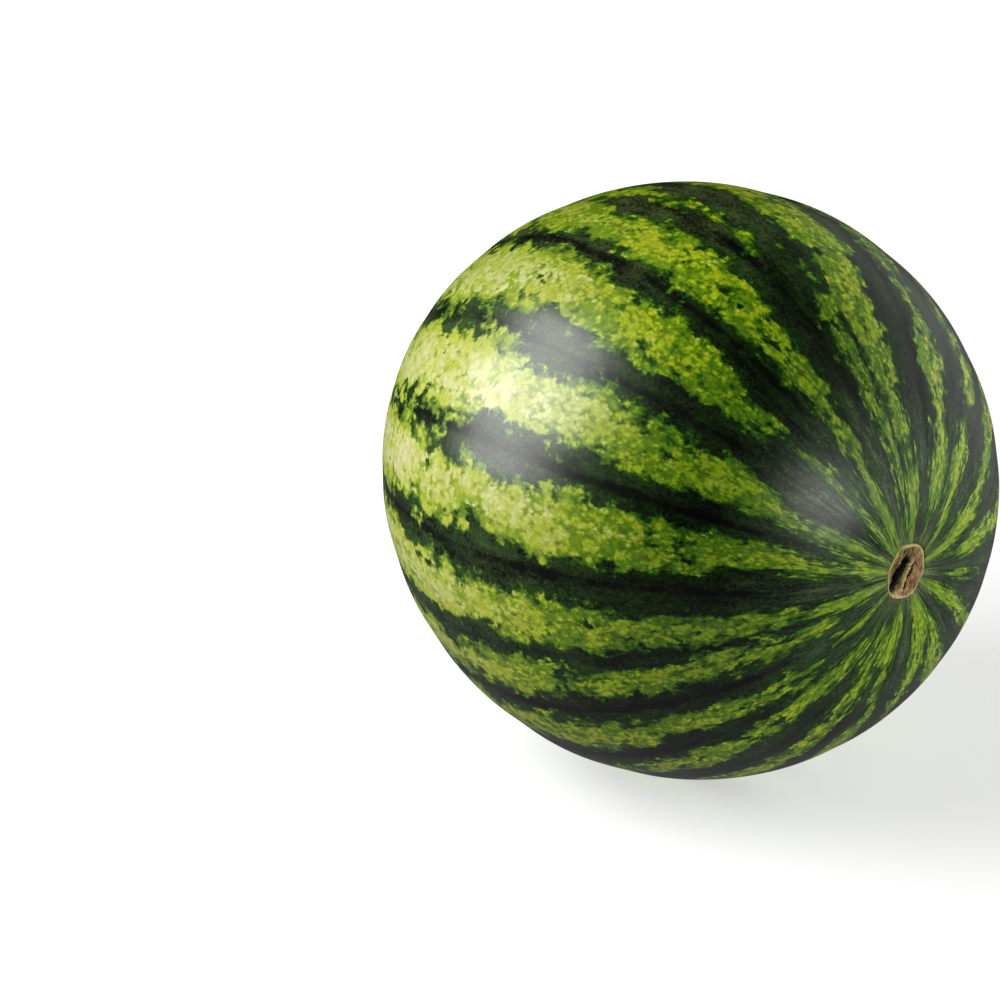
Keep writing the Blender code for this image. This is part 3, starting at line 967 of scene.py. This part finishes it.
def makeStubMaterial():
    look = stubLook
    material, tree, shader = newMaterial("driedStalk")
    place = objectPlace(tree, (0.0, 0.0, 0.0), turn=(-math.radians(stubFace["fibreTurn"]), 0.0, 0.0))
    fibres = grain(tree, vectorCalc(tree, "MULTIPLY", place, look["fibreStretch"]), *look["fibres"])
    patches = grain(tree, place, *look["patches"])
    # Colour by height: darker the deeper, so the split and cracks get painted shade over the stalk's own
    # browns
    height = total(tree, attributeOf(tree, "relief"),
                   product(tree, centred(tree, fibres), look["fibreHeight"]),
                   product(tree, centred(tree, patches), look["patchHeight"]))
    colour = blend(tree, attributeOf(tree, "pinkSide"), ramp(tree, height, look["olive"]),
                   ramp(tree, height, look["pink"]))
    onRidge = product(tree, attributeOf(tree, "ridge"), ease(tree, height, *look["ridgeHeights"]))
    colour = blend(tree, onRidge, colour, blend(tree, fibres, *look["ridge"]))
    ragged = product(tree, centred(tree, patches), look["rimRaggedness"])
    rim = ease(tree, calc(tree, "ADD", attributeOf(tree, "edge"), ragged), *look["rimShares"])
    colour = blend(tree, rim, colour, blend(tree, patches, *look["rim"]))
    tree.links.new(colour, shader.inputs["Base Color"])
    shader.inputs["Roughness"].default_value = look["roughness"]
    shader.inputs["Specular IOR Level"].default_value = look["specular"]
    bump = tree.nodes.new("ShaderNodeBump")
    bump.inputs["Distance"].default_value = look["bump"]
    tree.links.new(fibres, bump.inputs["Height"])
    tree.links.new(bump.outputs[0], shader.inputs["Normal"])
    return material


def paleShare(bent):  # of the ridge and the crust
    onRidge = fall(distanceToLine(bent, stubFace["ridge"]), stubFace["ridgePaleHalfWidth"])
    onCrust = fall((bent - Vector(stubFace["crust"])).length, stubFace["crustPaleRadius"])
    return max(onRidge, onCrust)


def pinkShare(spot):  # of the side past the ridge
    across, up, middle = stubFace["pinkSide"]
    return ease01(spot.x * across + spot.y * up + middle)


def makeStub():
    noise.seed_set(stubFace["seed"])  # or else the raggedness changes from one run to the next
    basinFloor = fruit["shift"] + fruit["length"] / 2 - fruit["basinDepth"]
    middle = Vector((basinFloor, 0.0, fruit["centreHeight"]))
    spokes, rings, faceMiddle = stub["spokes"], stub["rings"], Vector((0, 0))
    rise = stubRelief(faceMiddle, 0.0)
    points, depths, edges, spots = [middle + Vector((rise / 1000, 0, 0))], [rise], [0.0], [faceMiddle]
    for ring in range(1, rings + 1):
        share = ring / rings
        for spoke in range(spokes):
            longitude = 2 * math.pi * spoke / spokes
            outward = Vector((math.cos(longitude), math.sin(longitude)))
            point = outward * stubEdge(longitude) * share
            rise = stubRelief(point, share)
            spots.append(point)
            points.append(middle + Vector((rise, point.x, point.y)) / 1000)
            depths.append(rise)
            edges.append(share)
    for spoke in range(spokes):  # foot of the side
        longitude = 2 * math.pi * spoke / spokes
        outward = Vector((math.cos(longitude), math.sin(longitude)))
        spot = outward * stubEdge(longitude) * stubFace["footShare"] / 1000
        points.append(middle + Vector((-stub["depth"], spot.x, spot.y)))
        depths.append(-1.0)
        edges.append(1.0)
    points.append(middle - Vector((stub["depth"], 0, 0)))
    depths.append(-2.0)
    edges.append(0.5)
    faces = [(0, 1 + spoke, 1 + (spoke + 1) % spokes) for spoke in range(spokes)]
    for ring in range(rings):
        low, high = 1 + ring * spokes, 1 + (ring + 1) * spokes
        faces += [(low + s, high + s, high + (s + 1) % spokes, low + (s + 1) % spokes)
                  for s in range(spokes)]
    foot, end = 1 + rings * spokes, len(points) - 1
    faces += [(end, foot + (spoke + 1) % spokes, foot + spoke) for spoke in range(spokes)]
    mesh = bpy.data.meshes.new("stalkEnd")
    mesh.from_pydata(points, [], faces)
    mesh.shade_smooth()
    mesh.materials.append(makeStubMaterial())
    spots += [faceMiddle] * (len(points) - len(spots))  # for the side and the back, which don't show
    addAttribute(mesh, "ridge", np.array([paleShare(bentPlace(spot)) for spot in spots]))
    addAttribute(mesh, "pinkSide", np.array([pinkShare(spot) for spot in spots]))
    addAttribute(mesh, "relief", np.array(depths))
    addAttribute(mesh, "edge", np.array(edges))
    piece = bpy.data.objects.new("stalkEnd", mesh)
    bpy.context.scene.collection.objects.link(piece)
    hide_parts("stem_stub")
    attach(piece, "root")
    print("stalk end made:", len(faces), "faces")


# Floor, light and camera

studio = {
    "floorColour": (0.62, 0.62, 0.615),
    "floorGlow": 0.50,
    "farGlow": 0.55,  # added far from the fruit, so that the floor meets the white background unseen
    "farGlowReach": (0.3, 1.5),
    "floorSize": 14.0,
    "floorHeight": -0.0004,
    "fillLight": 0.15,  # even light that gives no reflection
    "lowLight": 0.42,
    "lowEdge": (0.05, -0.20),
    "lowGloss": 0.15,
    "lowGlossEdge": (-0.15, -0.65),
    "backdropLight": 3.1,
    "backdropGloss": 0.50,
    "backdropFacing": (0.42, 0.91, 0.0),  # the bright side of the room, behind and to the right
    "backdropEdge": (0.3, 0.8),
    "backdropHeight": (0.1, 0.45),  # its middle, and half its height
    "centre": (0.00054, 0.0, 0.1211),
    "lights": (  # name, direction from the fruit, distance, size, watts
        ("keySoftbox", (-0.445, -0.720, 0.532), 1.3, 1.2, 24.0),
        ("rightSoftbox", (0.972, 0.030, 0.215), 1.6, 0.8, 4.3),
    ),
}

photoView = {
    "distance": 1.5,
    "azimuth": 50.3417,
    "elevation": 20.6553,
    "pan": 2.8948,
    "tilt": -0.3645,
    "sensorWidth": 36.0,
    "focalShare": 3.6265,  # focal length by the sensor's width
}


def addFloor():
    bpy.ops.mesh.primitive_plane_add(size=studio["floorSize"], location=(0.0, 0.0, studio["floorHeight"]))
    floor = bpy.context.object
    floor.name = "floor"
    material, tree, shader = newMaterial("paleFloor")
    shader.inputs["Base Color"].default_value = (*studio["floorColour"], 1.0)
    shader.inputs["Emission Color"].default_value = (1.0, 1.0, 1.0, 1.0)
    place = tree.nodes.new("ShaderNodeTexCoord").outputs["Object"]
    reach = calc(tree, "SQRT", vectorCalc(tree, "DOT_PRODUCT", place, place))
    far = ease(tree, reach, *studio["farGlowReach"])
    glow = calc(tree, "MULTIPLY_ADD", far, studio["farGlow"], studio["floorGlow"])
    tree.links.new(glow, shader.inputs["Emission Strength"])
    shader.inputs["Roughness"].default_value = 0.9
    shader.inputs["Specular IOR Level"].default_value = 0.1
    floor.data.materials.append(material)
    floor.visible_glossy = False
    floor.visible_diffuse = False


def addLights():
    centre = Vector(studio["centre"])
    for name, direction, distance, size, watts in studio["lights"]:
        light = bpy.data.lights.new(name, "AREA")
        light.shape = "DISK"
        light.size = size
        light.energy = watts
        lamp = bpy.data.objects.new(name, light)
        outward = Vector(direction).normalized()
        lamp.location = centre + outward * distance
        lamp.rotation_euler = outward.to_track_quat("Z", "Y").to_euler()
        bpy.context.scene.collection.objects.link(lamp)
    world = bpy.data.worlds.new("studio")
    world.use_nodes = True
    tree = world.node_tree
    background = tree.nodes["Background"]
    direction = tree.nodes.new("ShaderNodeTexCoord").outputs["Generated"]
    height = split(tree, direction)[2]
    facing = vectorCalc(tree, "DOT_PRODUCT", direction, studio["backdropFacing"])
    middle, halfHeight = studio["backdropHeight"]
    backdrop = product(tree, ease(tree, facing, *studio["backdropEdge"]),
                       hump(tree, calc(tree, "SUBTRACT", height, middle), halfHeight))
    low = ease(tree, height, *studio["lowEdge"])
    soft = total(tree, product(tree, backdrop, studio["backdropLight"]),
                 product(tree, low, studio["lowLight"]), studio["fillLight"])
    lowest = ease(tree, height, *studio["lowGlossEdge"])
    sharp = total(tree, product(tree, backdrop, studio["backdropGloss"]),
                  product(tree, lowest, studio["lowGloss"]))
    ray = tree.nodes.new("ShaderNodeLightPath").outputs
    mixed = tree.nodes.new("ShaderNodeMix")
    for socket, value in zip(mixed.inputs, (ray["Is Glossy Ray"], None, soft, sharp)):
        if value is not None:
            feed(tree, socket, value)
    strength = calc(tree, "MAXIMUM", ray["Is Camera Ray"], mixed.outputs[0])
    background.inputs["Color"].default_value = (1.0, 1.0, 1.0, 1.0)
    tree.links.new(strength, background.inputs["Strength"])
    bpy.context.scene.world = world
    bpy.context.scene.view_settings.view_transform = "Standard"


def addCamera():
    azimuth, elevation, pan, tilt = (
        math.radians(photoView[key]) for key in ("azimuth", "elevation", "pan", "tilt"))
    back = Vector((math.sin(azimuth) * math.cos(elevation), -math.cos(azimuth) * math.cos(elevation),
                   math.sin(elevation)))
    right = Vector((math.cos(azimuth), math.sin(azimuth), 0.0))
    up = back.cross(right)
    forward = -back * math.cos(pan) - right * math.sin(pan)
    right = right * math.cos(pan) - back * math.sin(pan)
    forward, up = (forward * math.cos(tilt) + up * math.sin(tilt),
                   up * math.cos(tilt) - forward * math.sin(tilt))
    data = bpy.data.cameras.new("photoCamera")
    data.sensor_width = photoView["sensorWidth"]
    data.lens = photoView["sensorWidth"] * photoView["focalShare"]
    camera = bpy.data.objects.new("photoCamera", data)
    place = Matrix((right, up, -forward)).transposed().to_4x4()
    place.translation = Vector(studio["centre"]) + back * photoView["distance"]
    camera.matrix_world = place
    bpy.context.scene.collection.objects.link(camera)
    bpy.context.scene.camera = camera


makeRind()
makeStub()
addFloor()
addLights()
addCamera()
print("scene ready")
